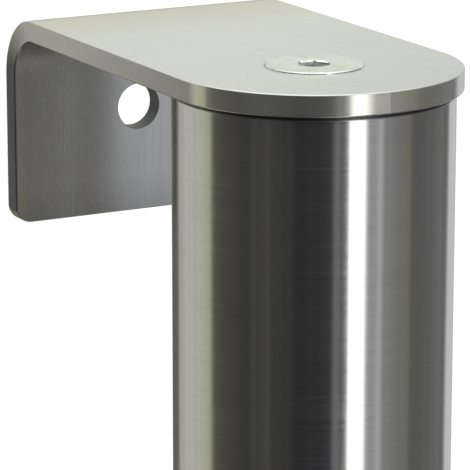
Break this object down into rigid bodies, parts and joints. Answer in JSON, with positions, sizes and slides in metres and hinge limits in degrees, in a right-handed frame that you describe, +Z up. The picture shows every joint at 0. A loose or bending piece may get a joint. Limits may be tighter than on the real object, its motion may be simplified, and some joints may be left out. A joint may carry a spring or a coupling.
{
  "type": "retractable bollard",
  "caption": "Retractable steel post: brushed tube with an L-shaped head plate slides down into a sunk ground sleeve, with gas-spring lift and a key-turned lock bolt.",
  "frame": {"origin": "on the post's axis at finished ground level, the ground plate's upper face", "axes": "+Z up along the post, +Y towards the head's flange, +X towards the lock"},
  "size_m": [0.206, 0.216, 1.3905],
  "materials": {
    "brushed_stainless": "circumferential grind, satin",
    "turned_stainless": "turned, semi-bright",
    "stainless_fastener": "bright",
    "brushed_plate": "straight grind, satin",
    "galvanised_steel": "hot-dip galvanised, spangled",
    "black_enamel": "gloss enamel",
    "hard_chrome": "ground and polished",
    "black_polymer": "moulded, satin",
    "white_polymer": "machined acetal",
    "black_rubber": "matt",
    "bronze": "turned bearing bronze",
    "spring_steel": "oil-blacked"
  },
  "bodies": {
    "ground_unit": {"ground_plate": "brushed_plate", "ground_sleeve": "galvanised_steel", "sleeve_base": "galvanised_steel", "flange_pocket": "galvanised_steel", "guide_bush": "white_polymer", "wiper_seal": "black_rubber", "retaining_ring": "brushed_plate", "retaining_ring_screws": "stainless_fastener", "anti_turn_rail": "turned_stainless", "anchor_bars": "galvanised_steel", "lower_buffer": "black_rubber", "lower_clevis": "galvanised_steel", "lower_clevis_pin": "stainless_fastener", "gas_rod": "hard_chrome", "lock_housing": "galvanised_steel", "lock_cover": "galvanised_steel", "lock_cover_screws": "stainless_fastener", "bolt_guide": "bronze", "bolt_guide_screws": "stainless_fastener", "spindle_bush": "bronze", "cap_hinge_pin": "stainless_fastener"},
    "post": {"head_plate": "brushed_stainless", "head_screw": "stainless_fastener", "head_dowels": "stainless_fastener", "post_tube": "brushed_stainless", "top_plug": "turned_stainless", "upper_clevis": "galvanised_steel", "upper_clevis_pin": "stainless_fastener", "gas_cylinder": "black_enamel", "gas_gland": "black_polymer", "foot_piston": "black_polymer", "foot_screws": "stainless_fastener", "guide_band": "white_polymer", "stop_ring": "black_rubber"},
    "lock_spindle": {"lock_spindle": "turned_stainless", "lock_pinion": "turned_stainless", "pinion_pin": "stainless_fastener", "spindle_clip": "spring_steel"},
    "lock_bolt": {"lock_bolt": "turned_stainless"},
    "keyhole_cap": {"keyhole_cap": "brushed_plate"}
  },
  "joints": [
    {"name": "post_slide", "type": "slide", "parent": "ground_unit", "child": "post", "axis": [0, 0, 1], "range_m": [-0.592, 0], "stiffness_N_per_m": 30, "springref_m": 3},
    {"name": "key_turn", "type": "hinge", "parent": "ground_unit", "child": "lock_spindle", "pos_m": [0.082, 0.0188, 0], "axis": [0, 0, -1], "range_deg": [0, 90]},
    {"name": "bolt_throw", "type": "slide", "parent": "ground_unit", "child": "lock_bolt", "axis": [-1, 0, 0], "range_m": [0, 0.01885]},
    {"name": "cap_swing", "type": "hinge", "parent": "ground_unit", "child": "keyhole_cap", "pos_m": [0.101, 0.0188, -0.003], "axis": [0, 1, 0], "range_deg": [0, 100]}
  ],
  "couplings": [
    {"joint": "bolt_throw", "follows": "key_turn", "m_per_rad": 0.012}
  ]
}
